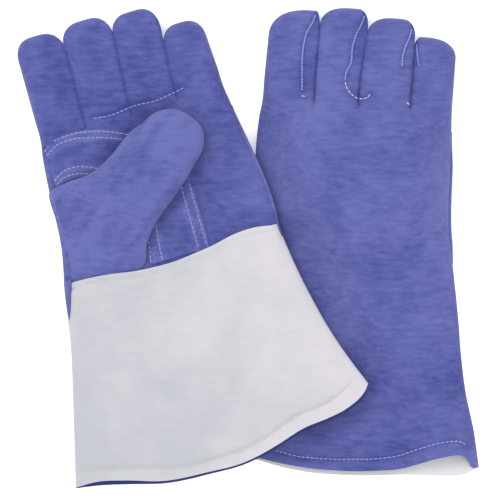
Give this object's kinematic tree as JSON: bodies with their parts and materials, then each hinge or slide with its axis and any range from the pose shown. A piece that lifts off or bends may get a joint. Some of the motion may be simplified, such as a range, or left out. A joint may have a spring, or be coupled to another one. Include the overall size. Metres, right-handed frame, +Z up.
{
  "type": "pair of welding gloves",
  "caption": "Pair of split-leather gauntlet welding gloves, one palm up across the other's cuff, with lined hands, flared cuffs, flexing fingers and opening thumbs.",
  "frame": {"origin": "bottom centre of the pair's bounding box, on the table", "axes": "+X to the right of the pair seen from above, +Y from the cuffs towards the fingertips, +Z up from the table"},
  "size_m": [0.3479, 0.3672, 0.0457],
  "materials": {
    "blue_leather": "napped split suede",
    "grey_leather": "napped split suede",
    "welt_leather": "smooth edge strip",
    "cotton_lining": "brushed cotton"
  },
  "bodies": {
    "right_hand": {"right_back_panel": "blue_leather", "right_palm_panel": "blue_leather", "right_cuff_panel": "grey_leather", "right_thumb_wing": "blue_leather", "right_thumb_strap": "blue_leather", "right_side_welt": "welt_leather", "right_hand_lining": "cotton_lining"},
    "right_index": {"right_index_back": "blue_leather", "right_index_front": "blue_leather", "right_index_fourchette_middle_side": "blue_leather", "right_index_lining": "cotton_lining"},
    "right_middle": {"right_middle_back": "blue_leather", "right_middle_front": "blue_leather", "right_middle_fourchette_index_side": "blue_leather", "right_middle_fourchette_ring_side": "blue_leather", "right_middle_lining": "cotton_lining"},
    "right_ring": {"right_ring_back": "blue_leather", "right_ring_front": "blue_leather", "right_ring_fourchette_middle_side": "blue_leather", "right_ring_fourchette_pinky_side": "blue_leather", "right_ring_lining": "cotton_lining"},
    "right_pinky": {"right_pinky_back": "blue_leather", "right_pinky_front": "blue_leather", "right_pinky_fourchette_ring_side": "blue_leather", "right_pinky_lining": "cotton_lining"},
    "right_thumb": {"right_thumb_outer": "blue_leather", "right_thumb_inner": "blue_leather", "right_thumb_lining": "cotton_lining"},
    "left_hand": {"left_back_panel": "blue_leather", "left_palm_panel": "blue_leather", "left_cuff_panel": "grey_leather", "left_thumb_wing": "blue_leather", "left_thumb_strap": "blue_leather", "left_side_welt": "welt_leather", "left_hand_lining": "cotton_lining"},
    "left_index": {"left_index_back": "blue_leather", "left_index_front": "blue_leather", "left_index_fourchette_middle_side": "blue_leather", "left_index_lining": "cotton_lining"},
    "left_middle": {"left_middle_back": "blue_leather", "left_middle_front": "blue_leather", "left_middle_fourchette_index_side": "blue_leather", "left_middle_fourchette_ring_side": "blue_leather", "left_middle_lining": "cotton_lining"},
    "left_ring": {"left_ring_back": "blue_leather", "left_ring_front": "blue_leather", "left_ring_fourchette_middle_side": "blue_leather", "left_ring_fourchette_pinky_side": "blue_leather", "left_ring_lining": "cotton_lining"},
    "left_pinky": {"left_pinky_back": "blue_leather", "left_pinky_front": "blue_leather", "left_pinky_fourchette_ring_side": "blue_leather", "left_pinky_lining": "cotton_lining"},
    "left_thumb": {"left_thumb_outer": "blue_leather", "left_thumb_inner": "blue_leather", "left_thumb_lining": "cotton_lining"}
  },
  "joints": [
    {"name": "left_glove_lift", "type": "slide", "parent": "right_hand", "child": "left_hand", "axis": [0, 0, 1], "range_m": [0, 0.1]},
    {"name": "right_index_flex", "type": "hinge", "parent": "right_hand", "child": "right_index", "pos_m": [0.03126, 0.12642, 0.0038], "axis": [-0.9979, 0.0645, 0], "range_deg": [0, 70]},
    {"name": "right_middle_flex", "type": "hinge", "parent": "right_hand", "child": "right_middle", "pos_m": [0.06769, 0.12406, 0.00796], "axis": [-0.9979, 0.0645, 0], "range_deg": [0, 70]},
    {"name": "right_ring_flex", "type": "hinge", "parent": "right_hand", "child": "right_ring", "pos_m": [0.10316, 0.12177, 0.01088], "axis": [-0.9979, 0.0645, 0], "range_deg": [0, 70]},
    {"name": "right_pinky_flex", "type": "hinge", "parent": "right_hand", "child": "right_pinky", "pos_m": [0.13909, 0.11945, 0.00621], "axis": [-0.9979, 0.0645, 0], "range_deg": [0, 70]},
    {"name": "right_thumb_open", "type": "hinge", "parent": "right_hand", "child": "right_thumb", "pos_m": [0.03535, 0.03847, 0], "axis": [-0.4613, 0.8872, 0], "range_deg": [0, 90]},
    {"name": "left_index_flex", "type": "hinge", "parent": "left_hand", "child": "left_index", "pos_m": [-0.14597, 0.10033, 0.022], "axis": [0.9578, 0.2874, 0], "range_deg": [0, 70]},
    {"name": "left_middle_flex", "type": "hinge", "parent": "left_hand", "child": "left_middle", "pos_m": [-0.11101, 0.11082, 0.022], "axis": [0.9578, 0.2874, 0], "range_deg": [0, 70]},
    {"name": "left_ring_flex", "type": "hinge", "parent": "left_hand", "child": "left_ring", "pos_m": [-0.07605, 0.12131, 0.022], "axis": [0.9578, 0.2874, 0], "range_deg": [0, 70]},
    {"name": "left_pinky_flex", "type": "hinge", "parent": "left_hand", "child": "left_pinky", "pos_m": [-0.04109, 0.1318, 0.022], "axis": [0.9578, 0.2874, 0], "range_deg": [0, 70]},
    {"name": "left_thumb_open", "type": "hinge", "parent": "left_hand", "child": "left_thumb", "pos_m": [-0.11388, 0.01861, 0.03461], "axis": [0.7416, -0.6708, 0], "range_deg": [0, 90]}
  ]
}
